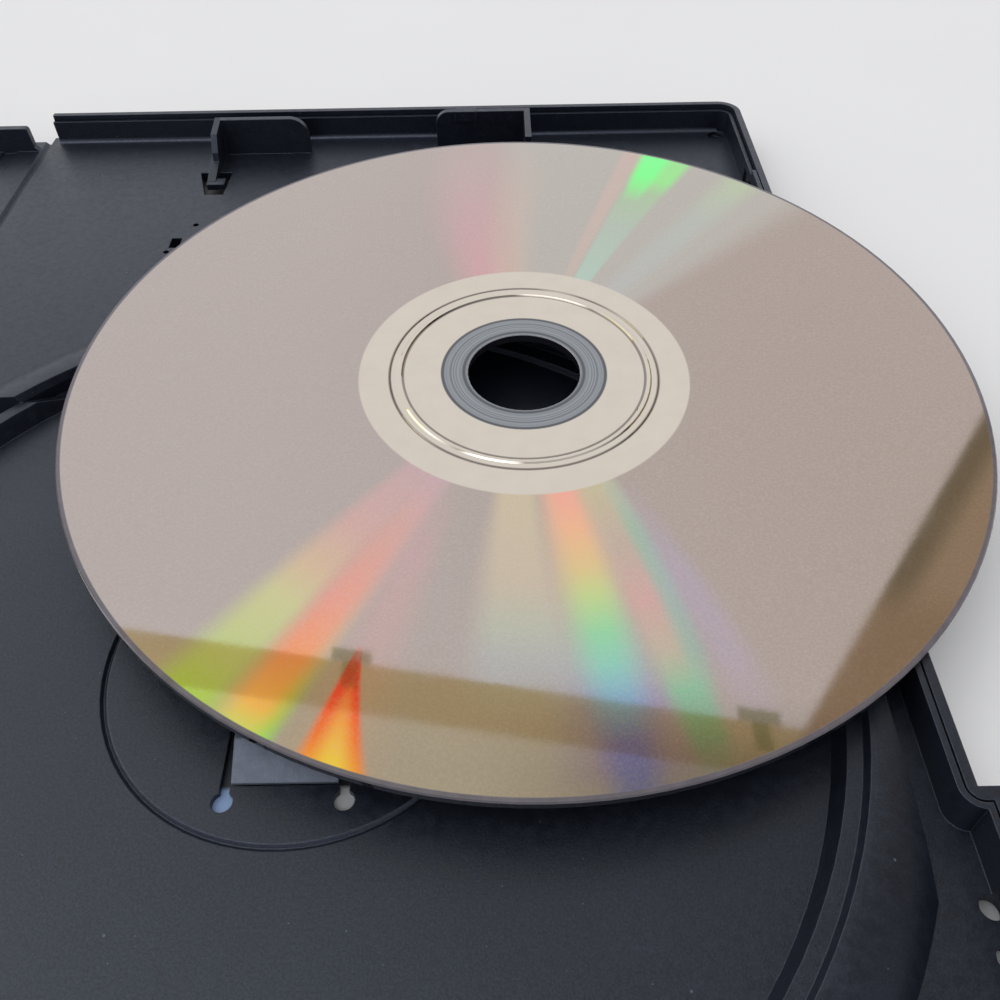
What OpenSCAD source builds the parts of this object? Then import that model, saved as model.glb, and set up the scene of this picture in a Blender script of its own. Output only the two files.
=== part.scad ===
// Open keep case for a game disc, lying flat on its outer face
// Millimetres. X runs across the open case, Y along the spine, Z up.
// The origin is on the table under the middle of the spine.
// The tray half lies at +X, the cover half at -X.

/* [Case] */
// Height of the case along the spine
case_h = 190; // [170:1:210]
// Width of one half from its hinge line to its free edge
panel_w = 135.5; // [132:0.5:150]
// Distance between the two hinge lines
spine_w = 13; // [11:0.5:18]
// Height of the walls of both halves over the table
rim_z = 7; // [6.6:0.1:8]
// Thickness of the walls
wall_t = 1.95; // [1.7:0.05:2.3]
// Radius of the two outer corners of each half
corner_r = 4; // [2.5:0.5:6]
// Radius of the cove where a wall meets its floor
cove_r = 0.8; // [0.5:0.1:1]

/* [Floors] */
// Height of the floor inside the disc well
well_z = 1.2; // [1:0.1:1.5]
// Height of the floor of the memory card bay
bay_z = 2; // [1.7:0.1:2.4]
// Height of the raised bank round the disc well
bank_z = 4.9; // [4.4:0.1:5.4]
// Thickness of the clear sleeve film
film_t = 0.2; // [0.1:0.05:0.25]
// Thickness of the printed paper
paper_t = 0.2; // [0.1:0.05:0.25]

/* [Finger notch] */
// Length of the notch in the free edge
notch_len = 92.2; // [60:1:110]
// Depth of the notch in the free edge
notch_d = 2.2; // [1:0.1:3]

/* [Disc well] */
// Distance of the hub from the hinge line
hub_x = 66; // [65:0.5:68]
// Distance of the hub from the lower end of the case
hub_y = 68.4; // [66:0.2:76]
// Radius of the well floor
well_r = 57.85; // [56:0.05:58.2]
// Radius of the outer end of the ledge under the disc's edge
ledge_r = 60.4; // [60:0.1:60.6]
// Height of the ledge and of the free ridge
ledge_z = 3.8; // [3.4:0.1:4.1]
// Radius of the outer side of the free ridge
ridge_r = 60.6; // [60.2:0.1:60.8]
// Radius where the round outer slope of the bank begins
bank_r = 61.5; // [61.2:0.1:62]
// Radius of the round outer slope of the bank
slope_r = 10.1; // [8:0.1:12]
// Radius of the thin ring line round the hub
ring_r = 22; // [18:0.5:26]

/* [Hub] */
// Height of the top of the hub button
hub_top = 7.85; // [7:0.05:8.5]
// Radius of the collar that grips the disc's hole
hub_r = 7.2; // [6.5:0.1:7.4]
// Width of the springy bridge under the button
bridge_w = 11; // [9:0.2:13]
// Length of the bridge
bridge_len = 30.7; // [27:0.1:34]
// Height of the level middle of the bridge
bridge_z = 3.2; // [2.8:0.1:3.6]
// Number of teeth of the collar
teeth = 8; // [6:1:12]
// Travel of the button when it is pressed
press = 0.7; // [0.5:0.1:0.7]

/* [Memory card bay] */
// Width of the memory card that the clips hold
card_w = 57; // [54:0.5:60]
// Length of the memory card along the spine direction
card_h = 43.5; // [40:0.5:46]
// Distance of the bay's left end from the hinge line
card_x = 37; // [34:0.5:40]
// Distance of the bay's upper end from the upper end of the case
card_top = 7.8; // [6:0.2:10]
// Height of the top of the upper left clip
left_clip_z = 8.8; // [8:0.1:9.6]
// Height of the top of the upper right clip
right_clip_z = 9.6; // [8.6:0.1:10]
// Height of the tops of the lower clips
low_clip_z = 9.3; // [8.6:0.1:9.6]
// Thickness of the clip plates
clip_t = 1.1; // [0.8:0.1:1.6]

/* [Disc] */
// Radius of the disc
disc_r = 60; // [58:0.5:60]
// Thickness of the disc
disc_t = 1.2; // [1:0.1:1.4]
// Radius of the hole in the disc
disc_hole_r = 7.5; // [7.5:0.1:8]
// Place of the disc's centre from the hinge line
disc_x = 91.9; // [88:0.1:94]
// Place of the disc's centre from the lower end of the case
disc_y = 107.2; // [104:0.1:110]

/* [Hidden] */
$fn = 96;
eps = 0.01;

// Heights
shell_z = film_t + paper_t;
web_t = 0.25;
hinge_z = shell_z + web_t;
spine_floor_z = well_z;

// Hinge clearances
fold_gap = 0.15;
fold_over = 0.3;
wall_end = 3;

// Places in the case's own frame
tray_x0 = spine_w / 2;
y0 = -case_h / 2;
hub = [tray_x0 + hub_x, y0 + hub_y];
inner_x = panel_w - wall_t;
inner_y = case_h / 2 - wall_t;
inner_r = 1.8;

// Shoulders of the notch
shoulder_w = 2.3;
notch_block = notch_len / 2 + shoulder_w;
notch_r = 2.4;

// Rim: a high outer lip, a groove and an inner rail, lower except beside the notch
rail_w = 0.65;
rail_drop = 0.9;
groove_w = 0.25;
groove_d = 0.5;
rail_z = rim_z - rail_drop;
flush_y = [36, 163.7];

// Round relief at the inner corner
relief_r = 1.5;
relief_d = 0.8;
relief_in = [0.6, 0.4];

// Well walls and the gutter beside the notch
well_lean = 1;
ledge_lean = 0.5;
gutter_w = 3;

// Finger recess at the hinge side of the well
recess_half = 41;

// Lowered stretch of the ledge towards the card bay, with a ramp at each end
dip_z = 2;
dip_run = 3;

// Ring line in the well floor
line_w = 0.8;
line_d = 0.35;

// Snap holes at the foot of the free edge wall, in pairs
snap_low = 37.2;
snap_high = 165.3;
snap_pitch = 4.5;
snap_r = 1.2;
snap_in = 0.4;
snap_z = 4.8;

// Booklet tabs in the cover
tab_r = 9;
tab_z = 5.6;
tab_t = 1;
tab_y = 62;

// Hub button: a bridge with two ramps that rise from the well floor
bridge_t = 0.8;
ramp_len = 4.2;
ramp_back = 0.4;
toe_z = 1.5;
toe_w = 0.9;
toe_gap = 0.05;
foot_z = shell_z + press + toe_gap;

// Opening round the bridge, with round ends to its two slots
slot_gap = 1.15;
slot_rib = 0.1;
end_gap = 0.15;
slot_reach = 1.85;
slot_end_r = 1.1;
slot_end_in = 0.47;
shoulder_h = 1.4;
shoulder_r = hub_r + 2.2;
collar_chamfer = 0.6;
collar_d = 1.2;
collar_in = hub_r - 2.4;
tooth_gap = 0.8;
core_r = hub_r - 3.2;
core_drop = 0.3;

// Card clips
card_y1 = case_h - card_top;
card_y0 = card_y1 - card_h;
card_x1 = card_x + card_w;
plate_l = 16.2;
plate_r = 16.5;
plate_round = 3.3;
plate_small = 2.4;
low_plate_in = 12;
low_plate_l = 13.5;
flange_len = 8;
flange_more = 2;
left_flange_y = [4, 6, 6.8];
left_flange_drop = 0.7;
catch_in = 3.6;
catch_len = 4;
catch_over = 0.3;
catch_h = 1.9;

// Springy hook in front of the upper left clip
hook_in = 1.6;
hook_w = 1.5;
hook_y = [4.2, 11.2];
hook_z = [4.4, 2.7];
hook_t = 1.2;
pad_w = 3.2;
pad_len = 2.1;
pad_z = [1.5, 2.6];

// Holes in the floor of the card bay, from the bay's lower left corner
hook_hole = [[-3.8, 36.6], [2.2, 36.6], [1.8, 28.7], [-1.6, 28.7]];
side_hole = [-4.4, 11.6];
side_hole_w = 1.8;
side_hole_h = 3;
pip_r = 0.5;
pips = [[-1.1, 18.7], [-4.5, 10.4]];

// Spine
spine_wall_z = 5.8;
spine_wall_t = 1.3;
spine_end_gap = 0.5;
spine_wall_gap = 0.1;
spine_toe = 0.5;
spine_wall_in = 1.7;
spine_wall_r = 0.6;
spine_band_w = 3;
spine_band_d = 0.3;

// Disc details: edge bevel, stacking ring and the thin groove outside it
disc_edge = 0.15;
hole_edge = 0.1;
stack_in = 16.2;
stack_out = 17;
stack_h = 0.15;
stack_lean = 0.2;
mirror_r = 17.9;
mirror_w = 0.1;

// Paper
paper_margin = 3.5;

// Disc seats: hub, free edge wall at the notch, lower right clip
seat_gap = 0.05;
rim_seat_x = panel_w - notch_d;
rim_seat_y = disc_y - sqrt(pow(disc_r, 2) - pow(rim_seat_x - disc_x, 2));
clip_seat = [card_x1 + clip_t, card_y0 - clip_t, low_clip_z + seat_gap];
rim_seat = [rim_seat_x, rim_seat_y, rim_z + seat_gap];
hub_seat = [hub_x, hub_y, hub_top + 4 * seat_gap];
seat_n = cross(rim_seat - hub_seat, clip_seat - hub_seat);
tilt_y = atan2(seat_n[0], seat_n[2]);
tilt_x = atan2(-seat_n[1] * cos(tilt_y), seat_n[2]);
disc_z = hub_seat[2] - (seat_n[0] * (disc_x - hub_x) + seat_n[1] * (disc_y - hub_y)) / seat_n[2];

// Colours
plastic = "#2f333a";
film = "#dfe6ea";
paper = "#c9d3df";
disc_colour = "#b4aaa6";

// Panel outline from its hinge line, with two round corners at the free edge
module outline(x1, y1, r) {
    translate([0, -y1]) square([x1 - r, 2 * y1]);
    translate([0, -y1 + r]) square([x1, 2 * (y1 - r)]);
    for (s = [-1, 1]) translate([x1 - r, s * (y1 - r)]) circle(r);
}

// Footprint of one half, notched at its free edge
module footprint() {
    difference() {
        outline(panel_w, case_h / 2, corner_r);
        translate([panel_w - notch_d, -notch_len / 2]) square([notch_d + 1, notch_len]);
    }
}

// Space inside the walls, grown by some distance, behind a round shouldered block
module inside(grow) {
    block = notch_block - grow;
    round_r = notch_r - grow;
    difference() {
        outline(inner_x + grow, inner_y + grow, inner_r + grow);
        translate([inner_x - notch_d + grow, 0]) {
            translate([0, -block + round_r]) square([notch_d + 1, 2 * (block - round_r)]);
            translate([round_r, -block]) square([notch_d + 1, 2 * block]);
            for (s = [-1, 1]) translate([round_r, s * (block - round_r)]) circle(round_r);
        }
    }
}

// Cove of one straight wall foot, along X, wall towards +Y
module cove(len) {
    rotate([90, 0, 90]) linear_extrude(len) difference() {
        translate([-cove_r, 0]) square([cove_r, cove_r]);
        translate([-cove_r, cove_r]) circle(cove_r, $fn = 32);
    }
}

// Strip at the hinge line that the walls keep clear of
module hinge_strip() {
    translate([-1, -case_h / 2 - 1]) square([wall_end + 1, case_h + 2]);
}

// Walls and inner rail up to some height of the rail
module wall_and_rail(top) {
    translate([0, 0, shell_z]) linear_extrude(top - groove_d - shell_z) difference() {
        footprint();
        inside(0);
        hinge_strip();
    }
    translate([0, 0, shell_z]) linear_extrude(top - shell_z) difference() {
        inside(rail_w);
        inside(0);
        hinge_strip();
    }
}

// Rim: low inner rail, high outer lip, and the rail as high as the lip beside the notch
module rim() {
    wall_and_rail(rail_z);
    intersection() {
        wall_and_rail(rim_z);
        translate([inner_x - notch_d - 1, y0 + flush_y[0], 0])
            cube([panel_w, flush_y[1] - flush_y[0], rim_z]);
    }
    translate([0, 0, shell_z]) linear_extrude(rim_z - shell_z) difference() {
        footprint();
        inside(rail_w + groove_w);
        hinge_strip();
    }
}

// Walls of one half with the coves at the feet of the two end walls
module walls(floor_z) {
    rim();
    for (s = [0, 1]) mirror([0, s, 0])
        translate([wall_end, inner_y, floor_z]) cove(inner_x - wall_end - relief_r);
}

// Cut that clears the fold at a hinge line: 45 degrees over the thin web
module fold_cut() {
    rise = bay_z - hinge_z + fold_over;
    rotate([90, 0, 0]) linear_extrude(case_h + 2, center = true) polygon([
        [-1, hinge_z], [fold_gap, hinge_z], [fold_gap + rise, hinge_z + rise],
        [fold_gap + rise, rim_z + 1], [-1, rim_z + 1]]);
}

// Floor plate of one half with its folded edge
module floor_plate(z1) {
    difference() {
        translate([0, 0, shell_z]) linear_extrude(z1 - shell_z) footprint();
        fold_cut();
    }
}

// Snap holes through the floor and up into the foot of the free edge wall
module snap_holes() {
    for (y = [snap_low, snap_high], s = [-1, 1])
        translate([inner_x - snap_in, y0 + y + s * snap_pitch / 2, 0])
            cylinder(h = snap_z, r = snap_r, $fn = 32);
}

// Round bank of the well: flat top, round outer slope, cut straight beside the notch
module bank() {
    intersection() {
        translate([hub_x, y0 + hub_y, 0]) rotate_extrude($fn = 180) {
            translate([0, shell_z]) square([bank_r, bank_z - shell_z]);
            intersection() {
                translate([bank_r, bank_z - slope_r]) circle(slope_r);
                translate([bank_r, shell_z]) square([slope_r, bank_z - shell_z]);
            }
        }
        translate([wall_end, y0, 0]) cube([inner_x - notch_d - gutter_w - wall_end, case_h, bank_z + 1]);
        linear_extrude(bank_z + 1) inside(0);
    }
}

// Everything that the round well takes away, down to the stepped ledge
module well_cut() {
    translate([hub_x, y0 + hub_y, 0]) rotate_extrude($fn = 180) polygon([
        [0, well_z], [well_r, well_z], [well_r + well_lean, ledge_z], [ledge_r, ledge_z],
        [ledge_r + ledge_lean, bank_z], [ledge_r + ledge_lean, bank_z + 1], [0, bank_z + 1]]);
}

// Finger recess on the hinge side, outside the free ridge and over its top
module recess_cut() {
    translate([0, y0 + hub_y - recess_half, 0]) difference() {
        translate([0, 0, well_z]) cube([hub_x, 2 * recess_half, bank_z]);
        translate([hub_x, recess_half, 0]) cylinder(h = ledge_z, r = ridge_r, $fn = 180);
    }
}

// Lowered stretch of the ledge behind two ramps
module ledge_dip() {
    ramp = recess_half + dip_run;
    intersection() {
        translate([hub_x, y0 + hub_y, dip_z]) cylinder(h = bank_z, r = ledge_r, $fn = 180);
        translate([0, y0 + hub_y, 0]) rotate([90, 0, 90]) linear_extrude(inner_x) polygon([
            [recess_half, ledge_z], [ramp, dip_z - eps], [2 * ledge_r, dip_z - eps],
            [2 * ledge_r, bank_z], [recess_half, bank_z]]);
    }
}

// Opening in the well floor for the bridge, with round ends to its slots
module bridge_opening() {
    half_w = bridge_w / 2 + slot_gap;
    half_len = bridge_len / 2 + end_gap;
    end_y = bridge_len / 2 + slot_reach;
    translate([hub_x, y0 + hub_y, 0]) {
        translate([-half_w, -half_len, 0]) cube([2 * half_w, 2 * half_len, bank_z]);
        for (s = [0, 1]) mirror([s, 0, 0]) {
            translate([bridge_w / 2 + slot_rib, -end_y, 0])
                cube([slot_gap - slot_rib, 2 * end_y, bank_z]);
            for (t = [-1, 1]) translate([half_w - slot_end_in, t * end_y, 0])
                cylinder(h = bank_z, r = slot_end_r, $fn = 32);
        }
    }
}

// Thin ring line in the well floor round the hub, a V-shaped groove
module ring_line() {
    translate([hub_x, y0 + hub_y, 0]) rotate_extrude($fn = 180) polygon([
        [ring_r - line_w / 2, well_z + eps], [ring_r, well_z - line_d],
        [ring_r + line_w / 2, well_z + eps]]);
}

// Upright plate along X with rounded top corners
module clip_plate(x, y, len, top, round_l, round_r) {
    translate([x, y + clip_t, 0]) rotate([90, 0, 0]) linear_extrude(clip_t) {
        translate([0, shell_z]) square([len, top - shell_z - plate_round]);
        translate([round_l, shell_z]) square([len - round_l - round_r, top - shell_z]);
        if (round_l > 0) translate([round_l, top - round_l]) circle(round_l, $fn = 48);
        if (round_r > 0) translate([len - round_r, top - round_r]) circle(round_r, $fn = 48);
        translate([0, shell_z]) square([len - round_r, top - shell_z - round_l]);
        translate([round_l, shell_z]) square([len - round_l, top - shell_z - round_r]);
    }
}

// Upright flange along Y with a level top
module clip_flange(x, y, len, top) {
    translate([x, y, shell_z]) cube([clip_t, len, top - shell_z]);
}

// The left flange, its top edge falling steeply towards the hook
module left_flange(y) {
    low_z = (left_clip_z + bay_z) / 2;
    translate([card_x - clip_t, 0, 0]) rotate([90, 0, 90]) linear_extrude(clip_t) polygon([
        [y + clip_t, shell_z], [y + clip_t, left_clip_z],
        [y - left_flange_y[0], left_clip_z - left_flange_drop],
        [y - left_flange_y[1], low_z], [y - left_flange_y[2], shell_z]]);
}

// Springy hook: a falling arm and its pad over the hook hole
module hook(y) {
    left = card_x - hook_in;
    translate([left, 0, 0]) rotate([90, 0, 90]) linear_extrude(hook_w) polygon([
        [y - hook_y[0], hook_z[0]], [y - hook_y[1], hook_z[1]],
        [y - hook_y[1], hook_z[1] - hook_t], [y - hook_y[0], hook_z[0] - hook_t]]);
    translate([left - eps, y - hook_y[1] - pad_len / 2, pad_z[0]])
        cube([pad_w, pad_len, pad_z[1] - pad_z[0]]);
}

// The four card clips and the hook
module card_clips() {
    upper = y0 + card_y1;
    lower = y0 + card_y0;
    right_x = card_x1 - plate_r;
    clip_plate(card_x, upper, plate_l, left_clip_z, 0, plate_round);
    left_flange(upper);
    hook(upper);
    clip_plate(right_x, upper, plate_r, right_clip_z, plate_small, 0);
    clip_flange(card_x1 - eps, upper - flange_len - flange_more, flange_len + flange_more + clip_t,
        right_clip_z);
    translate([right_x + catch_in, upper - rail_w, right_clip_z + catch_over - catch_h])
        cube([catch_len, clip_t + rail_w, catch_h]);
    clip_plate(right_x, lower - clip_t, plate_r, low_clip_z, plate_small, 0);
    clip_flange(card_x1 - eps, lower - clip_t, flange_len + clip_t, low_clip_z);
    clip_plate(card_x + low_plate_in, lower - clip_t, low_plate_l, low_clip_z, plate_small, plate_small);
}

// Holes through the bay floor that the moulded hooks need
module card_holes() {
    translate([card_x, y0 + card_y0, 0]) {
        linear_extrude(bay_z + 1) polygon(hook_hole);
        translate([side_hole[0], side_hole[1], 0]) cube([side_hole_w, side_hole_h, bay_z + 1]);
        for (p = pips) translate([p[0], p[1], 0]) cylinder(h = bay_z + 1, r = pip_r, $fn = 24);
    }
}

// Round relief at the two inner corners of a half
module corner_reliefs(z1) {
    for (s = [-1, 1]) translate([inner_x - relief_r - relief_in[0],
            s * (inner_y - relief_r - relief_in[1]), z1 - relief_d])
        cylinder(h = 3, r = relief_r, $fn = 32);
}

// Tray half: floors, well, ridge, clips and walls in one moulding
module tray_shell() {
    color(plastic) translate([tray_x0, 0, 0]) difference() {
        union() {
            difference() {
                union() {
                    floor_plate(bay_z);
                    bank();
                }
                well_cut();
                recess_cut();
                ledge_dip();
                card_holes();
            }
            walls(bay_z);
            card_clips();
        }
        fold_cut();
        bridge_opening();
        corner_reliefs(bay_z);
        snap_holes();
        ring_line();
    }
}

// Hub button: split collar on a springy bridge that dips when pressed
module hub_button() {
    toe = bridge_len / 2;
    level = toe - ramp_len;
    under_z = bridge_z - bridge_t;
    color(plastic) translate([hub[0], hub[1], 0]) {
        translate([-bridge_w / 2, 0, 0]) rotate([90, 0, 90]) linear_extrude(bridge_w) polygon([
            [-toe, foot_z], [-toe, toe_z], [-level, bridge_z], [level, bridge_z],
            [toe, toe_z], [toe, foot_z], [toe - toe_w, foot_z],
            [level - ramp_back, under_z], [-level + ramp_back, under_z], [-toe + toe_w, foot_z]]);
        difference() {
            union() {
                translate([0, 0, bridge_z - eps]) cylinder(h = shoulder_h, r = shoulder_r);
                translate([0, 0, bridge_z]) cylinder(h = hub_top - bridge_z - collar_chamfer, r = hub_r);
                translate([0, 0, hub_top - collar_chamfer])
                    cylinder(h = collar_chamfer, r1 = hub_r, r2 = hub_r - collar_chamfer);
            }
            translate([0, 0, hub_top - collar_d]) cylinder(h = 2 * collar_d, r = collar_in);
            for (i = [0 : teeth - 1]) rotate([0, 0, i * 360 / teeth])
                translate([collar_in, -tooth_gap / 2, bridge_z + shoulder_h])
                    cube([hub_r, tooth_gap, hub_top]);
        }
        translate([0, 0, bridge_z]) cylinder(h = hub_top - bridge_z - core_drop, r = core_r);
    }
}

// Spine between the two hinge lines, its end walls inset to pass inside the halves
module spine_panel() {
    half = spine_w / 2;
    foot = half - fold_gap - spine_wall_gap;
    slope = bay_z - hinge_z;
    top = half - spine_wall_in;
    wall_y = inner_y - spine_end_gap;
    color(plastic) {
        difference() {
            translate([-half, y0, shell_z]) cube([spine_w, case_h, spine_floor_z - shell_z]);
            for (s = [0, 1]) mirror([s, 0, 0]) translate([-half, 0, 0]) fold_cut();
            translate([-spine_band_w / 2, y0 - 1, spine_floor_z - spine_band_d])
                cube([spine_band_w, case_h + 2, 1]);
        }
        for (s = [0, 1]) mirror([0, s, 0]) translate([0, wall_y, 0]) rotate([90, 0, 0])
            linear_extrude(spine_wall_t) {
                polygon([[-foot, hinge_z], [-foot + slope, hinge_z + slope],
                    [-top, spine_wall_z - spine_wall_r], [top, spine_wall_z - spine_wall_r],
                    [foot - slope, hinge_z + slope], [foot, hinge_z],
                    [half - spine_toe, shell_z], [-half + spine_toe, shell_z]]);
                translate([-top + spine_wall_r, spine_wall_z - 2 * spine_wall_r])
                    square([2 * (top - spine_wall_r), 2 * spine_wall_r]);
                for (t = [-1, 1]) translate([t * (top - spine_wall_r), spine_wall_z - spine_wall_r])
                    circle(spine_wall_r, $fn = 32);
            }
    }
}

// Cover half: plain floor, walls and two booklet tabs
module cover_shell() {
    color(plastic) mirror([1, 0, 0]) translate([tray_x0, 0, 0]) {
        difference() {
            union() {
                floor_plate(well_z);
                walls(well_z);
            }
            fold_cut();
            corner_reliefs(well_z);
        }
        for (s = [-1, 1]) translate([inner_x + eps, s * tab_y, tab_z]) intersection() {
            cylinder(h = tab_t, r = tab_r);
            translate([-tab_r, -tab_r, 0]) cube([tab_r, 2 * tab_r, tab_t]);
        }
    }
}

// Disc, data side up, leaning on the hub, a clip and the free edge wall
module game_disc() {
    color(disc_colour) translate([tray_x0 + disc_x, y0 + disc_y, disc_z])
        rotate([0, tilt_y, 0]) rotate([tilt_x, 0, 0]) rotate_extrude($fn = 180) polygon([
            [disc_hole_r, 0], [disc_r - disc_edge, 0], [disc_r, disc_edge],
            [disc_r, disc_t - disc_edge], [disc_r - disc_edge, disc_t],
            [mirror_r + mirror_w, disc_t], [mirror_r, disc_t - mirror_w], [mirror_r - mirror_w, disc_t],
            [stack_out, disc_t], [stack_out - stack_lean, disc_t + stack_h],
            [stack_in + stack_lean, disc_t + stack_h], [stack_in, disc_t],
            [disc_hole_r + hole_edge, disc_t], [disc_hole_r, disc_t - hole_edge]]);
}

// Outline of the paper behind one half, open at the hinge line
module paper_outline(extra) {
    translate([0, -case_h / 2 + paper_margin])
        square([panel_w - paper_margin + extra, case_h - 2 * paper_margin]);
}

// Clear film of one half with a shallow pocket for the paper
module film_panel() {
    difference() {
        linear_extrude(shell_z) footprint();
        translate([-1, 0, film_t]) linear_extrude(1) paper_outline(1);
    }
}

module tray_sleeve() {
    color(film, 0.5) translate([tray_x0, 0, 0]) film_panel();
}

module cover_sleeve() {
    color(film, 0.5) mirror([1, 0, 0]) translate([tray_x0, 0, 0]) film_panel();
}

module spine_sleeve() {
    color(film, 0.5) difference() {
        translate([-spine_w / 2, y0, 0]) cube([spine_w, case_h, shell_z]);
        translate([-spine_w / 2 - 1, y0 + paper_margin, film_t])
            cube([spine_w + 2, case_h - 2 * paper_margin, 1]);
    }
}

module tray_insert() {
    color(paper) translate([tray_x0, 0, film_t]) linear_extrude(paper_t) paper_outline(0);
}

module cover_insert() {
    color(paper) mirror([1, 0, 0]) translate([tray_x0, 0, film_t]) linear_extrude(paper_t) paper_outline(0);
}

module spine_insert() {
    color(paper) translate([-spine_w / 2, y0 + paper_margin, film_t])
        cube([spine_w, case_h - 2 * paper_margin, paper_t]);
}

tray_shell();
spine_panel();
cover_shell();
hub_button();
game_disc();
tray_sleeve();
spine_sleeve();
cover_sleeve();
tray_insert();
spine_insert();
cover_insert();
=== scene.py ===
"""Looks for the open game disc case: moulded plastic, a rainbow disc, clear film and printed paper.

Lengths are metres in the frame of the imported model, and millimetres where a name says mm or in the
places and radii that the materials work with.
"""

import math
from collections import namedtuple

import bpy
from mathutils import Matrix, Vector

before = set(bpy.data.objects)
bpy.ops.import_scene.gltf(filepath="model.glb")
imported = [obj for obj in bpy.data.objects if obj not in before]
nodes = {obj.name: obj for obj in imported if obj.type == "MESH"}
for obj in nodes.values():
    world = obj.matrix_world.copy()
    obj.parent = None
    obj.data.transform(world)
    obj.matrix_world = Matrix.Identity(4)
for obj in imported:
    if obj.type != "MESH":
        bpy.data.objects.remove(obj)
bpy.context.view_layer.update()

MM = 0.001

# Camera, fitted to the circles and straight edges of the object
CAMERA_AT = Vector((95.19, -86.34, 92.79)) * MM
CAMERA_PITCH_DOWN = math.radians(47.771)
CAMERA_ROLL = math.radians(-1.118)
CAMERA_YAW = math.radians(-0.186)
SENSOR_MM = 36
LENS_MM = 34.375
NEAREST = 1 * MM
FARTHEST = 20

# Disc, lying tilted on the hub, a clip and the free edge wall: centre and radii in mm
DISC_CENTRE = (98.4, 12.2)
DISC_R = 60.0
METAL_EDGE_R = 59.4
MIRROR_BAND_R = 22.0
MIRROR_LINE = (17.75, 18.05)
STACK_RING_R = 16.5
STACK_LINE = (STACK_RING_R - 0.45, STACK_RING_R - 0.25)
CLEAR_RING_R = 11.1
CLEAR_RING_LINES = ((7.9, 8.15), (10.75, 11.0))

# Hub of the tray: where it stands across the case, and the top of the bridge that carries its collar
HUB_X = 72.5
BRIDGE_TOP = 3.6
BRIDGE_EDGE = 0.2

# Paper, inner side: where its blue and white fields, its painted shade and its near black begin, across and
# along the case in mm
BLUE_FIELD_HALF_FADE = 2
PAINTED_SHADE_FROM = -42.0
PAINTED_SHADE_FADE = 0.3
NEAR_BLACK_FADE = (30, 34)

# Paper: fields of its outer side
BLUE_PER_MM = 0.0055
BLUE_MIDDLE = 0.5
CIRCLE_AT = (72, -12)
OUTER_CIRCLE_R = 38.0
INNER_CIRCLE_R = 25.0
CIRCLE_FADE = 0.5
TITLE_BAND = (66, 74)
FOOT_FADE = (-84, -83)

# Table top, just under the film
TABLE_HALF = 3.0
TABLE_DROP = 0.05 * MM

# Light: the lamp, and how bright the world is for matte surfaces
LAMP_AT = (-0.7, 0.9, 1.5)
LAMP_AIM = (0.05, 0, 0)
LAMP_SIZE = 0.9
LAMP_WATTS = 2.6
WORLD_LIGHT = 1.08

# Even light of the world: how far a direction points to its bright side, and where it brightens
BRIGHT_SIDE = (-0.3, 0.9)
BRIGHT_SIDE_FADE = (-0.6, 0.5)
DIM_SIDE_SHARE = 0.6

# What shiny surfaces see round them: fades along a direction's x, to the right, and y, ahead
FAR_LEFT_FADE = (-0.8, -0.5)
LEFT_FADE = (-0.38, -0.15)
RIGHT_FADE = (-0.05, 0.35)
LOW_RIGHT_FADE = (0.45, 0.9)
AHEAD_FADE = (-0.4, 0.15)
FACING_FADE = (0.0, 0.1)
BEHIND_LIGHT = 0.62
GLOW_FROM = Vector((-0.25, -0.3, 0.92)).normalized()
GLOW_FADE = (0.93, 0.98)
GLOW = 2.5

# What shiny surfaces see overhead, as places on a flat ceiling one unit up: x to the right, y ahead
LEAST_UP = 0.02
HIGH_TO_LOW_FADE = (0.4, 0.6)
STRIP_TILT = 0.17
STRIP = (0.485, 0.545)
STRIP_FADE = 0.004
BEFORE_STRIP_FADE = (0.53, 0.535)
MARKS_AT = (-0.157, 0.317)
MARK_HEAD = (0.549, 0.562)
MARK_HEAD_HALF = (0.022, 0.026)
MARK_STEM = (0.515, 0.555)
MARK_STEM_HALF = (0.008, 0.012)
MARK_STRENGTH = 0.7
SIDE_SLOPE = 0.742
SIDE_FADE = (0.0, 0.01)
SIDE_LIP_FADE = (0.02, 0.05)
SIDE_LOW_FADE = (0.7, 0.8)

WHITE = (1, 1, 1, 1)
CLEAR = (0, 0, 0, 0)


def srgb(red, green, blue):
    """Linear colour from the 0-255 values that a picture shows."""
    def linear(value):
        value /= 255
        return value / 12.92 if value <= 0.04045 else ((value + 0.055) / 1.055) ** 2.4
    return (linear(red), linear(green), linear(blue), 1.0)


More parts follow.
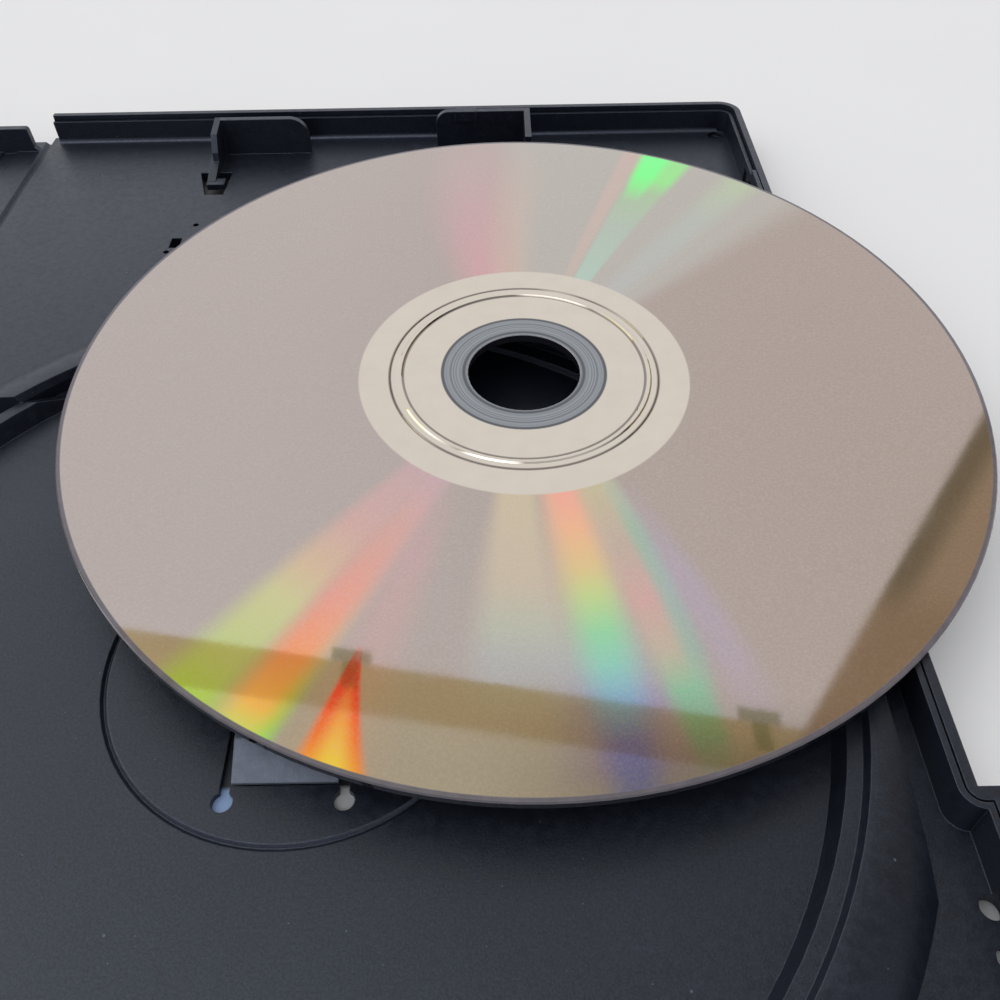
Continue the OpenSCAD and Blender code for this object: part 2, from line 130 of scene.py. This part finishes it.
class Shader:
    """A node tree with short names for the steps that the materials share."""

    def __init__(self, tree):
        self.tree = tree
        tree.nodes.clear()

    def add(self, kind, **settings):
        node = self.tree.nodes.new(kind)
        for key, value in settings.items():
            setattr(node, key, value)
        return node

    def plug(self, value, socket):
        """Links an output, or sets a plain value. None leaves the socket as it is."""
        if isinstance(value, bpy.types.NodeSocket):
            self.tree.links.new(value, socket)
        elif value is not None:
            socket.default_value = value

    def math(self, operation, a, b=None, c=None):
        node = self.add("ShaderNodeMath", operation=operation)
        for socket, value in zip(node.inputs, (a, b, c)):
            self.plug(value, socket)
        return node.outputs[0]

    def times(self, a, b):
        return self.math("MULTIPLY", a, b)

    def plus(self, a, b):
        return self.math("ADD", a, b)

    def minus(self, a, b):
        return self.math("SUBTRACT", a, b)

    def hypot(self, a, b):
        """Distance from the origin to the point a, b."""
        return self.math("SQRT", self.plus(self.times(a, a), self.times(b, b)))

    def dot(self, a, b):
        node = self.add("ShaderNodeVectorMath", operation="DOT_PRODUCT")
        self.plug(a, node.inputs[0])
        self.plug(b, node.inputs[1])
        return node.outputs["Value"]

    def split(self, vector):
        """The x, y and z of a vector."""
        node = self.add("ShaderNodeSeparateXYZ")
        self.plug(vector, node.inputs[0])
        return node.outputs[0], node.outputs[1], node.outputs[2]

    def step(self, value, low, high, start=0.0, end=1.0):
        """Smooth rise from start to end while value goes from low to high."""
        node = self.add("ShaderNodeMapRange", interpolation_type="SMOOTHSTEP")
        for socket, item in zip(node.inputs, (value, low, high, start, end)):
            self.plug(item, socket)
        return node.outputs[0]

    def past(self, value, edge, fade):
        """0 before an edge and 1 past it, with a fade on both sides of it."""
        return self.step(value, edge - fade, edge + fade)

    def before(self, value, edge, fade):
        """1 before an edge and 0 past it, with a fade on both sides of it."""
        return self.step(value, edge - fade, edge + fade, 1.0, 0.0)

    def band(self, value, low, high, fade):
        """1 between low and high, falling to 0 over the fade outside."""
        rise = self.step(value, low - fade, low)
        fall = self.step(value, high, high + fade, 1.0, 0.0)
        return self.times(rise, fall)

    def mix(self, factor, a, b, blend="MIX"):
        node = self.add("ShaderNodeMix", data_type="RGBA", blend_type=blend)
        self.plug(factor, node.inputs["Factor"])
        self.plug(a, node.inputs[6])
        self.plug(b, node.inputs[7])
        return node.outputs[2]

    def dimmed(self, colour, amount):
        """The colour times a number."""
        grey = self.add("ShaderNodeCombineColor")
        for socket in grey.inputs:
            self.plug(amount, socket)
        return self.mix(1.0, colour, grey.outputs[0], "MULTIPLY")

    def ramp(self, factor, stops):
        node = self.add("ShaderNodeValToRGB")
        elements = node.color_ramp.elements
        while len(elements) < len(stops):
            elements.new(0.5)
        for element, (place, colour) in zip(elements, stops):
            element.position = place
            element.color = colour
        self.plug(factor, node.inputs[0])
        return node.outputs[0]

    def place_mm(self, origin=(0, 0, 0), scale=(1, 1, 1)):
        """Point on the surface in millimetres, counted from origin."""
        where = self.add("ShaderNodeTexCoord").outputs["Object"]
        node = self.add("ShaderNodeMapping", vector_type="POINT")
        self.plug(where, node.inputs["Vector"])
        node.inputs["Scale"].default_value = [s / MM for s in scale]
        node.inputs["Location"].default_value = [-o * s for o, s in zip(origin, scale)]
        return node.outputs["Vector"]

    def upward(self):
        """How far the surface faces up: 1 on top, 0 on a wall and -1 underneath."""
        return self.split(self.add("ShaderNodeTexCoord").outputs["Normal"])[2]

    def noise(self, vector, scale, detail=2.0, roughness=0.5):
        node = self.add("ShaderNodeTexNoise")
        self.plug(vector, node.inputs["Vector"])
        self.plug(scale, node.inputs["Scale"])
        self.plug(detail, node.inputs["Detail"])
        self.plug(roughness, node.inputs["Roughness"])
        return node.outputs["Fac"]

    def specks(self, vector, per_mm, radius, share):
        """Small round specks, in only a share of the cells."""
        node = self.add("ShaderNodeTexVoronoi")
        self.plug(vector, node.inputs["Vector"])
        self.plug(per_mm, node.inputs["Scale"])
        dot = self.step(node.outputs["Distance"], radius * 0.5, radius, 1.0, 0.0)
        pick = self.add("ShaderNodeSeparateColor")
        self.plug(node.outputs["Color"], pick.inputs[0])
        chosen = self.math("LESS_THAN", pick.outputs[0], share)
        return self.times(dot, chosen)

    def bump(self, height, distance_mm, strength, normal=None):
        node = self.add("ShaderNodeBump")
        node.inputs["Strength"].default_value = strength
        node.inputs["Distance"].default_value = distance_mm * MM
        self.plug(height, node.inputs["Height"])
        self.plug(normal, node.inputs["Normal"])
        return node.outputs[0]


class Material(Shader):
    """A material with one Principled shader."""

    def __init__(self, name):
        self.material = bpy.data.materials.new(name)
        self.material.use_nodes = True
        super().__init__(self.material.node_tree)
        self.surface = self.add("ShaderNodeBsdfPrincipled")
        out = self.add("ShaderNodeOutputMaterial")
        self.tree.links.new(self.surface.outputs[0], out.inputs[0])

    def set(self, **values):
        """Fills sockets of the shader, named with _ for a space, and gives the material."""
        for key, value in values.items():
            self.plug(value, self.surface.inputs[key.replace("_", " ")])
        return self.material


def dress(names, material):
    """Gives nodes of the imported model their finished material."""
    for name in names:
        mesh = nodes[name].data
        mesh.materials.clear()
        mesh.materials.append(material)


def moulded_plastic(name, dark, mid, light, painted_light_below=None):
    """Dark blue-grey polypropylene with a fine spark-eroded grain, dust, and rounded edges painted lighter:
    partly wear, partly a painted highlight.

    Below the height that the last argument gives, in mm, it is paler: a painted highlight for the hub's
    bridge, which catches the light.
    """
    m = Material(name)
    place = m.place_mm()
    grain = m.noise(place, scale=5.5, detail=2.0, roughness=0.6)
    cloud = m.noise(place, scale=0.045, detail=3.0, roughness=0.55)
    mottle = m.noise(place, scale=0.9, detail=3.0, roughness=0.6)
    sparkle = m.noise(place, scale=3.4, detail=2.0, roughness=0.7)

    tone = m.plus(m.times(cloud, 0.45), m.times(mottle, 0.2))
    tone = m.plus(tone, m.times(grain, 0.35))
    colour = m.ramp(tone, [(0.3, srgb(*dark)), (0.55, srgb(*mid)), (0.75, srgb(*light))])
    if painted_light_below:
        level = m.split(place)[2]
        # Painted highlight: below the bridge's top the hub is paler, because its bridge catches the light.
        painted_lit_bridge = m.mix(mottle, srgb(78, 84, 94), srgb(104, 111, 123))
        colour = m.mix(m.step(level, painted_light_below, painted_light_below + BRIDGE_EDGE, 1.0, 0.0), colour, painted_lit_bridge)
    fine_dust = m.specks(place, per_mm=0.55, radius=0.055, share=0.4)
    coarse_dust = m.specks(place, per_mm=0.21, radius=0.04, share=0.5)
    dust = m.times(m.math("MAXIMUM", fine_dust, coarse_dust), 0.4)
    colour = m.mix(dust, colour, srgb(120, 124, 132))

    round_edge = m.add("ShaderNodeBevel", samples=4)
    round_edge.inputs["Radius"].default_value = 0.18 * MM
    flatness = m.dot(round_edge.outputs[0], m.add("ShaderNodeNewGeometry").outputs["Normal"])
    # Rounded edges painted lighter: partly wear, partly a painted highlight where the edges catch the light.
    worn_and_highlit_edges = m.step(flatness, 0.86, 0.98, start=0.4, end=0.0)
    colour = m.mix(worn_and_highlit_edges, colour, srgb(92, 100, 108))

    height = m.plus(grain, m.times(mottle, 0.5))
    return m.set(
        Base_Color=colour,
        Roughness=m.step(mottle, 0.3, 0.75, start=0.36, end=0.48),
        Specular_IOR_Level=m.step(sparkle, 0.3, 0.7, start=0.68, end=0.9),
        Specular_Tint=(0.68, 0.77, 1.0, 1.0),
        Normal=m.bump(height, distance_mm=0.026, strength=0.8, normal=round_edge.outputs[0]))


# A rainbow streak of the disc, a painted reflection of the light split into colours by its tracks: its angle
# in degrees at the inner and at the outer end of the metal, its half width at both, how soft its sides are,
# and its colours as (place, colour and strength) from inner end, 0, to outer end, 1
Streak = namedtuple("Streak", "inner outer inner_half outer_half soft stops")


def painted_rainbow_reflections():
    """All painted rainbow reflections, the later streaks over the earlier ones."""
    def c(red, green, blue, strength):
        return (*srgb(red, green, blue)[:3], strength)
    return [
        # pink bar of the far side with its peach flank
        Streak(104, 96, 8, 6, 0.9, [
            (0, c(214, 158, 166, 0.7)), (0.45, c(208, 162, 169, 0.6)), (0.8, c(200, 170, 172, 0.5)),
            (1, c(200, 172, 172, 0.3))]),
        Streak(94, 88, 6, 3, 0.7, [
            (0, c(208, 180, 165, 0.6)), (0.5, c(205, 180, 168, 0.4)), (1, CLEAR)]),
        # mint strip with the bright green wedge at its outer end
        Streak(65.5, 64.2, 3.2, 4, 0.25, [
            (0, c(172, 205, 190, 0.7)), (0.4, c(172, 196, 178, 0.6)), (0.68, c(160, 205, 150, 0.6)),
            (0.8, c(145, 235, 135, 0.9)), (1, c(150, 232, 140, 0.9))]),
        Streak(66.2, 66.0, 0.4, 2.3, 0.5, [
            (0.6, CLEAR), (0.72, c(130, 245, 140, 0.8)), (0.82, c(120, 255, 140, 1)),
            (1, c(122, 255, 145, 1))]),
        Streak(71.0, 70.0, 1.6, 1.5, 0.5, [
            (0, c(205, 180, 168, 0.5)), (1, c(206, 176, 166, 0.6))]),
        Streak(52, 51, 4, 2.5, 0.8, [
            (0, c(184, 184, 184, 0.6)), (0.6, c(178, 188, 180, 0.6)), (1, c(182, 200, 160, 0.7))]),
        # left fan of the near side
        Streak(-127, -126.3, 4.5, 3.6, 0.6, [
            (0, c(206, 166, 172, 0.6)), (0.3, c(214, 168, 160, 0.75)), (0.5, c(214, 186, 150, 0.85)),
            (0.62, c(204, 202, 145, 0.9)), (0.85, c(190, 205, 130, 0.9)), (1, c(168, 205, 70, 0.95))]),
        Streak(-119.5, -117.4, 3.8, 1.2, 0.8, [
            (0, c(206, 168, 180, 0.6)), (0.4, c(214, 172, 160, 0.6)), (0.7, c(190, 200, 140, 0.6)),
            (0.85, c(150, 205, 80, 0.95)), (1, c(120, 225, 110, 1))]),
        Streak(-119.8, -119.6, 3.4, 2.5, 0.7, [
            (0, CLEAR), (0.3, c(222, 158, 144, 0.55)), (0.55, c(240, 150, 134, 0.75)),
            (0.75, c(250, 152, 96, 0.85)), (0.92, c(250, 190, 90, 0.95)), (1, c(205, 225, 110, 0.9))]),
        Streak(-114, -110, 3, 3.6, 0.9, [
            (0, CLEAR), (0.3, c(208, 160, 165, 0.45)), (1, c(206, 166, 150, 0.4))]),
        # flame: its width grows from nothing at about 0.6 of the way out
        Streak(-119.5, -109.5, -5.2, 3.4, 0.25, [
            (0.64, CLEAR), (0.7, c(235, 84, 60, 0.9)), (0.8, c(255, 84, 60, 1)),
            (0.92, c(255, 128, 60, 1)), (1, c(255, 160, 56, 1))]),
        Streak(-119, -109.4, -3.6, 1.7, 0.9, [
            (0.74, CLEAR), (0.84, c(255, 170, 90, 0.8)), (0.94, c(255, 205, 90, 1)),
            (1, c(255, 225, 70, 1))]),
        # right fan of the near side
        Streak(-94, -90, 6, 7, 0.5, [
            (0, c(205, 190, 160, 0.85)), (0.35, c(205, 190, 165, 0.7)), (0.5, c(186, 196, 175, 0.6)),
            (0.62, c(175, 188, 190, 0.4)), (0.8, CLEAR)]),
        Streak(-80.5, -80.5, 5, 6, 0.7, [
            (0, c(225, 185, 150, 0.8)), (0.35, c(214, 190, 160, 0.6)), (0.6, c(170, 185, 185, 0.5)),
            (0.75, c(150, 140, 180, 0.75)), (0.93, c(150, 125, 165, 0.6)), (1, CLEAR)]),
        Streak(-79.2, -81.2, 5.2, 2.0, 0.85, [
            (0, c(240, 165, 150, 0.9)), (0.15, c(238, 178, 138, 0.9)), (0.3, c(220, 194, 134, 0.9)),
            (0.4, c(190, 212, 136, 0.9)), (0.52, c(142, 212, 158, 0.9)), (0.63, c(134, 202, 182, 0.9)),
            (0.75, c(130, 170, 205, 0.9)), (0.86, c(122, 118, 195, 0.9)), (1, c(120, 125, 190, 0.8))]),
        Streak(-70, -73.2, 5, 1.6, 0.6, [
            (0, c(200, 190, 150, 0.75)), (0.25, c(200, 178, 160, 0.6)), (0.45, c(214, 165, 160, 0.75)),
            (0.62, c(195, 180, 155, 0.7)), (0.75, c(130, 190, 150, 0.85)), (0.9, c(120, 165, 135, 0.7)),
            (1, CLEAR)]),
        Streak(-64.5, -72, 2.4, 1, 0.8, [
            (0, c(186, 190, 165, 0.6)), (0.2, c(150, 185, 160, 0.8)), (0.45, c(150, 180, 172, 0.75)),
            (0.65, c(140, 178, 165, 0.6)), (0.8, CLEAR)]),
        Streak(-62, -67, 3, 2, 0.8, [
            (0, CLEAR), (0.4, c(176, 162, 188, 0.5)), (0.7, c(176, 160, 182, 0.5)), (1, CLEAR)]),
    ]


def without_black(stops):
    """Stops of no strength take the colour of the nearest other stop, so that nothing fades to black."""
    seen = [stop for stop in stops if stop[1][3] > 0]
    def nearest(place):
        return min(seen, key=lambda stop: abs(stop[0] - place))[1][:3]
    return [(place, (*nearest(place), colour[3])) for place, colour in stops]


def with_painted_rainbow_reflections(m, metal, radius, angle):
    """The metal's colour with the painted rainbow reflections laid over it."""
    along = m.math("DIVIDE", m.minus(radius, MIRROR_BAND_R), DISC_R - MIRROR_BAND_R)
    for streak in painted_rainbow_reflections():
        middle = m.math("MULTIPLY_ADD", along, streak.outer - streak.inner, streak.inner)
        half = m.math("MULTIPLY_ADD", along, streak.outer_half - streak.inner_half, streak.inner_half)
        away = m.math("ABSOLUTE", m.math("DIVIDE", m.minus(angle, middle), half))
        shade = m.ramp(along, without_black(streak.stops))
        mask = m.times(m.before(away, 1.0, streak.soft), shade.node.outputs["Alpha"])
        metal = m.mix(mask, metal, shade)
    return metal


def clear_ring(m, radius):
    """The ring of clear plastic round the hole, with fine turning marks whose paler rings are painted glints,
    and two dark lines.
    """
    turns = m.add("ShaderNodeCombineXYZ")
    m.plug(radius, turns.inputs[0])
    turning_marks_and_glints = m.noise(turns.outputs[0], scale=3.0, detail=3.0, roughness=0.7)
    # Fine concentric rings: turning marks, the paler ones painted glints.
    colour = m.mix(m.step(turning_marks_and_glints, 0.35, 0.65), srgb(102, 108, 114), srgb(152, 157, 162))
    for line, shade in zip(CLEAR_RING_LINES, (srgb(70, 74, 80), srgb(74, 76, 82))):
        colour = m.mix(m.band(radius, *line, fade=0.15), colour, shade)
    return colour


def disc_material():
    """Metal layer under clear plastic: ring zones by radius, painted rainbow reflections by angle, and
    painted shade to the right.
    """
    m = Material("disc_data_side")
    place = m.place_mm()
    x, y, _ = m.split(m.place_mm((*DISC_CENTRE, 0)))
    radius = m.hypot(x, y)
    angle = m.times(m.math("ARCTAN2", y, x), math.degrees(1))

    # Painted shade and reflection: the metal is darker to the right, where it mirrors a dimmer room, with a
    # paler, cooler band up on the right.
    painted_shade_to_right = m.step(x, -40.0, 50.0)
    metal = m.mix(painted_shade_to_right, srgb(177, 166, 162), srgb(167, 152, 143))
    painted_cool_reflection = m.times(m.band(angle, 45, 88, fade=8), 0.7)
    metal = m.mix(painted_cool_reflection, metal, srgb(184, 182, 175))
    metal = with_painted_rainbow_reflections(m, metal, radius, angle)
    fleck = m.noise(place, scale=3.2, detail=3.0, roughness=0.65)
    metal = m.mix(m.step(fleck, 0.35, 0.75, start=0.0, end=0.16), metal, srgb(215, 205, 198))

    mirror = m.mix(m.noise(place, scale=0.35), srgb(204, 195, 184), srgb(214, 205, 194))
    colour = m.mix(m.past(radius, MIRROR_BAND_R, 0.15), mirror, metal)
    mirror_line = m.times(m.band(radius, *MIRROR_LINE, fade=0.12), 0.6)
    colour = m.mix(mirror_line, colour, srgb(95, 85, 82))
    stack_line = m.times(m.band(radius, *STACK_LINE, fade=0.15), 0.7)
    colour = m.mix(stack_line, colour, srgb(85, 76, 74))
    past_clear_ring = m.past(radius, CLEAR_RING_R, 0.1)
    colour = m.mix(past_clear_ring, clear_ring(m, radius), colour)
    clear_rim = m.mix(m.noise(place, scale=0.8), srgb(84, 80, 88), srgb(110, 105, 112))
    colour = m.mix(m.past(radius, METAL_EDGE_R, 0.08), colour, clear_rim)

    # the edge wall is dark, and the printed side underneath is plain
    up = m.upward()
    on_top = m.step(up, 0.3, 0.8)
    colour = m.mix(on_top, srgb(30, 30, 35), colour)
    colour = m.mix(m.step(up, -0.8, -0.3), srgb(66, 70, 80), colour)
    metallic = m.times(on_top, past_clear_ring)
    metallic = m.times(metallic, m.before(radius, METAL_EDGE_R, 0.08))

    smudge = m.noise(place, scale=0.06, detail=4.0, roughness=0.6)
    return m.set(
        Base_Color=colour,
        Metallic=metallic,
        Roughness=m.step(smudge, 0.35, 0.7, start=0.03, end=0.055),
        Normal=m.bump(m.noise(place, scale=1.1), distance_mm=0.0015, strength=0.3),
        Coat_Weight=0.25,
        Coat_Roughness=0.05,
        Coat_IOR=1.58)


def film_material():
    """Clear, slightly cloudy polypropylene film with long scuffs."""
    m = Material("clear_film")
    waves = m.noise(m.place_mm(), scale=0.12, detail=3.0)
    scuffs = m.noise(m.place_mm(scale=(1, 0.08, 1)), scale=1.6, detail=3.0, roughness=0.6)
    return m.set(
        Base_Color=m.mix(waves, srgb(205, 214, 224), srgb(228, 233, 238)),
        Roughness=m.step(scuffs, 0.4, 0.7, start=0.07, end=0.22),
        Alpha=m.step(scuffs, 0.5, 0.8, start=0.08, end=0.16),
        Normal=m.bump(waves, distance_mm=0.06, strength=0.5),
        Specular_IOR_Level=0.6)


def paper_inside(m, x, y):
    """Inner side of the paper, as the openings of the tray show it: blue and white, then dark navy as painted
    shade in the slots and holes, then near black.
    """
    colour = m.mix(m.past(x, HUB_X, BLUE_FIELD_HALF_FADE), srgb(150, 180, 226), srgb(236, 238, 238))
    # Painted shade: dark navy over the paper past the teardrop ends, for the shade in the slots and holes
    # above it.
    colour = m.mix(m.past(y, PAINTED_SHADE_FROM, PAINTED_SHADE_FADE), colour, srgb(34, 40, 52))
    return m.mix(m.step(y, *NEAR_BLACK_FADE), colour, srgb(14, 15, 18))


def paper_outside(m, x, y):
    """Outer side of the paper: blue that pales upwards, a plain circle on both halves, white bands."""
    blue = m.math("MULTIPLY_ADD", y, BLUE_PER_MM, BLUE_MIDDLE)
    colour = m.ramp(blue, [
        (0.0, srgb(24, 62, 118)), (0.42, srgb(46, 108, 170)),
        (0.55, srgb(120, 172, 212)), (1.0, srgb(198, 222, 238))])
    circle_x, circle_y = CIRCLE_AT
    from_circle = m.hypot(m.minus(m.math("ABSOLUTE", x), circle_x), m.minus(y, circle_y))
    colour = m.mix(m.before(from_circle, OUTER_CIRCLE_R, CIRCLE_FADE), colour, srgb(238, 160, 62))
    colour = m.mix(m.before(from_circle, INNER_CIRCLE_R, CIRCLE_FADE), colour, srgb(247, 205, 120))
    white = srgb(240, 243, 246)
    colour = m.mix(m.band(y, *TITLE_BAND, fade=0.3), colour, white)
    return m.mix(m.step(y, *FOOT_FADE, 1.0, 0.0), colour, white)


def paper_material():
    """Coated paper with plain fields of colour on both sides, and painted shade on its inner side."""
    m = Material("printed_paper")
    place = m.place_mm()
    x, y, _ = m.split(place)
    fibre = m.noise(place, scale=4.0, detail=3.0, roughness=0.6)
    colour = m.mix(m.step(m.upward(), -0.5, 0.0), paper_outside(m, x, y), paper_inside(m, x, y))
    colour = m.mix(m.times(fibre, 0.12), colour, srgb(120, 120, 122))
    return m.set(
        Base_Color=colour,
        Roughness=m.step(fibre, 0.3, 0.7, start=0.4, end=0.55),
        Normal=m.bump(fibre, distance_mm=0.01, strength=0.3))


def table_material():
    """Pale matte table top."""
    m = Material("table_top")
    tint = m.noise(m.place_mm(), scale=0.02, detail=3.0)
    return m.set(
        Base_Color=m.mix(tint, srgb(236, 236, 235), srgb(240, 240, 239)),
        Roughness=0.85,
        Specular_IOR_Level=0.2)


def make_table():
    """Table top under the case, just below the film."""
    mesh = bpy.data.meshes.new("table_top")
    corners = [(TABLE_HALF * a, TABLE_HALF * b, -TABLE_DROP) for a, b in ((-1, -1), (1, -1), (1, 1), (-1, 1))]
    mesh.from_pydata(corners, [], [(0, 1, 2, 3)])
    mesh.materials.append(table_material())
    table = bpy.data.objects.new("table_top", mesh)
    bpy.context.scene.collection.objects.link(table)


def make_camera():
    data = bpy.data.cameras.new("camera")
    data.sensor_width = SENSOR_MM
    data.lens = LENS_MM
    data.clip_start = NEAREST
    data.clip_end = FARTHEST
    camera = bpy.data.objects.new("camera", data)
    yaw = Matrix.Rotation(-CAMERA_YAW, 4, "Z")
    pitch = Matrix.Rotation(math.pi / 2 - CAMERA_PITCH_DOWN, 4, "X")
    roll = Matrix.Rotation(CAMERA_ROLL, 4, "Z")
    camera.matrix_world = Matrix.Translation(CAMERA_AT) @ yaw @ pitch @ roll
    bpy.context.scene.collection.objects.link(camera)
    bpy.context.scene.camera = camera


def make_lamp():
    """A soft lamp from high on the far left, which nothing mirrors."""
    data = bpy.data.lights.new("soft_lamp", "AREA")
    data.size = LAMP_SIZE
    data.energy = LAMP_WATTS
    lamp = bpy.data.objects.new("soft_lamp", data)
    lamp.visible_glossy = False
    lamp.location = LAMP_AT
    lamp.rotation_euler = (Vector(LAMP_AIM) - Vector(LAMP_AT)).to_track_quat("-Z", "Y").to_euler()
    bpy.context.scene.collection.objects.link(lamp)


def shine(w, direction, ahead_line):
    """How bright shiny surfaces see the world: bright high on the left, dim high on the right."""
    x, y, _ = w.split(direction)
    left = w.step(x, *LEFT_FADE, start=1.3, end=0.9)
    right = w.step(x, *RIGHT_FADE, start=1.0, end=0.15)
    far_left = w.step(x, *FAR_LEFT_FADE, start=1.8, end=1.0)
    high = w.times(w.times(left, right), far_left)
    low = w.step(x, *LOW_RIGHT_FADE, start=1.0, end=0.5)
    high_share = w.step(ahead_line, *HIGH_TO_LOW_FADE, start=1.0, end=0.0)
    front = w.plus(w.times(high, high_share), w.times(low, w.minus(1.0, high_share)))
    ahead = w.step(y, *AHEAD_FADE)
    light = w.plus(w.times(front, ahead), w.times(w.minus(1.0, ahead), BEHIND_LIGHT))
    glow = w.step(w.dot(direction, GLOW_FROM), *GLOW_FADE, start=0.0, end=GLOW)
    return w.plus(light, glow)


def mirrored_colour(w, direction, across, ahead_line):
    """Colours that shiny surfaces see ahead: a yellowish part, a tan strip with two marks, a side."""
    x, y, _ = w.split(direction)
    facing = w.step(y, *FACING_FADE)
    before_strip = w.step(ahead_line, *BEFORE_STRIP_FADE, start=1.0, end=0.0)
    colour = w.mix(w.times(before_strip, facing), WHITE, srgb(244, 240, 212))
    strip = w.band(ahead_line, *STRIP, STRIP_FADE)
    colour = w.mix(w.times(strip, facing), colour, srgb(222, 206, 160))
    past_side = w.minus(x, w.times(y, SIDE_SLOPE))
    side = w.mix(w.step(past_side, *SIDE_LIP_FADE), srgb(156, 148, 124), srgb(204, 187, 162))
    side = w.mix(w.step(ahead_line, *SIDE_LOW_FADE, start=1.0, end=0.0), side, srgb(190, 171, 144))
    colour = w.mix(w.times(w.step(past_side, *SIDE_FADE), facing), colour, side)
    for mark_at in MARKS_AT:
        off = w.math("ABSOLUTE", w.minus(across, mark_at))
        head = w.times(w.step(off, *MARK_HEAD_HALF, 1.0, 0.0), w.band(ahead_line, *MARK_HEAD, STRIP_FADE))
        stem = w.times(w.step(off, *MARK_STEM_HALF, 1.0, 0.0), w.band(ahead_line, *MARK_STEM, STRIP_FADE))
        mark = w.times(w.math("MAXIMUM", head, stem), facing)
        colour = w.mix(w.times(mark, MARK_STRENGTH), colour, srgb(156, 160, 100))
    return colour


def make_world():
    """Even soft light for matte surfaces, and the brighter and dimmer sides that shiny ones mirror."""
    world = bpy.data.worlds.new("studio")
    bpy.context.scene.world = world
    world.use_nodes = True
    w = Shader(world.node_tree)
    direction = w.add("ShaderNodeTexCoord").outputs["Generated"]
    x, y, z = w.split(direction)

    bright_x, bright_y = BRIGHT_SIDE
    towards = w.plus(w.times(x, bright_x), w.times(y, bright_y))
    share = w.step(towards, *BRIGHT_SIDE_FADE, start=DIM_SIDE_SHARE, end=1.0)
    even = w.dimmed(w.mix(share, srgb(20, 20, 22), srgb(252, 252, 255)), WORLD_LIGHT)

    up = w.math("MAXIMUM", z, LEAST_UP)
    across = w.math("DIVIDE", x, up)
    ahead_line = w.math("MULTIPLY_ADD", across, STRIP_TILT, w.math("DIVIDE", y, up))
    mirrored = mirrored_colour(w, direction, across, ahead_line)
    mirrored = w.dimmed(mirrored, shine(w, direction, ahead_line))

    glossy = w.add("ShaderNodeLightPath").outputs["Is Glossy Ray"]
    background = w.add("ShaderNodeBackground")
    w.plug(w.mix(glossy, even, mirrored), background.inputs["Color"])
    background.inputs["Strength"].default_value = 1.0
    w.plug(background.outputs[0], w.add("ShaderNodeOutputWorld").inputs[0])


dress(["tray_shell", "spine_panel", "cover_shell"],
      moulded_plastic("moulded_plastic", dark=(14, 17, 24), mid=(20, 24, 34), light=(29, 34, 47)))
# The hub is the same moulded plastic with lighter tones: painted light for the hub, which is lit more than
# the tray.
dress(["hub_button"],
      moulded_plastic("hub_plastic_painted_lit", dark=(30, 34, 42), mid=(40, 45, 55), light=(52, 58, 69),
                      painted_light_below=BRIDGE_TOP))
dress(["game_disc"], disc_material())
dress(["tray_sleeve", "spine_sleeve", "cover_sleeve"], film_material())
dress(["tray_insert", "spine_insert", "cover_insert"], paper_material())

bpy.context.scene.view_settings.view_transform = "Standard"
make_table()
make_camera()
make_world()
make_lamp()
